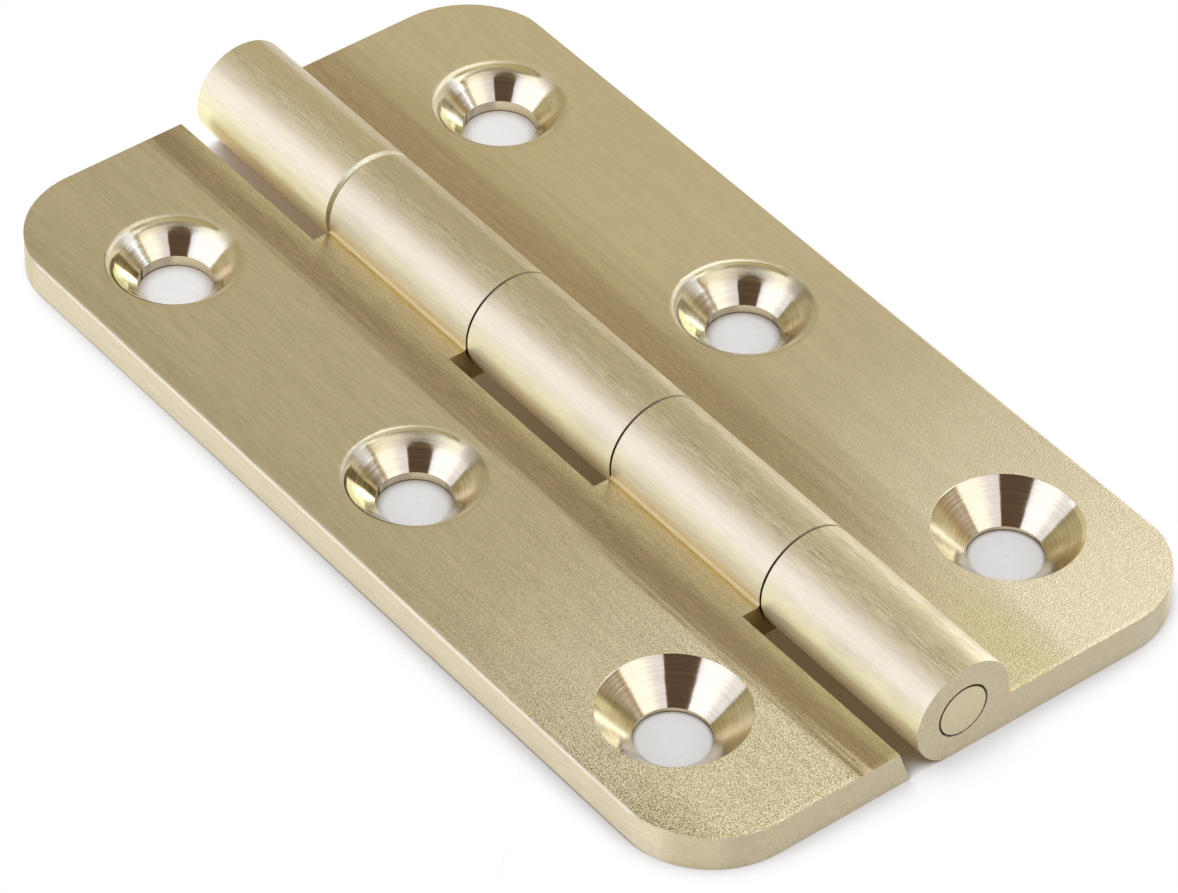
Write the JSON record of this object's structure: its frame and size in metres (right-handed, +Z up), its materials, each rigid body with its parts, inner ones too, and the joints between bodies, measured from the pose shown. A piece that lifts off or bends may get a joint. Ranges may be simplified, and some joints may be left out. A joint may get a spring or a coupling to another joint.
{
  "type": "butt hinge",
  "caption": "Drawn brass butt hinge with rounded leaf corners, countersunk screw holes and interleaved knuckles turning on a plain flush pin.",
  "frame": {"origin": "on the back plane, under the pin axis at the middle of the hinge's length", "axes": "+Y along the pin, +X towards the three-knuckle leaf, +Z up out of the countersunk faces"},
  "size_m": [0.028, 0.05, 0.0047],
  "materials": {
    "satin_brass": "satin, brushed along the pin, with turned countersinks",
    "pin_brass": "drawn rod with ground ends"
  },
  "bodies": {
    "fixed_leaf": {"three_knuckle_leaf": "satin_brass", "hinge_pin": "pin_brass"},
    "swinging_leaf": {"two_knuckle_leaf": "satin_brass"}
  },
  "joints": [
    {"name": "leaf_swing", "type": "hinge", "parent": "fixed_leaf", "child": "swinging_leaf", "pos_m": [0, 0, 0.0023], "axis": [0, 1, 0], "range_deg": [-98, 184]}
  ]
}
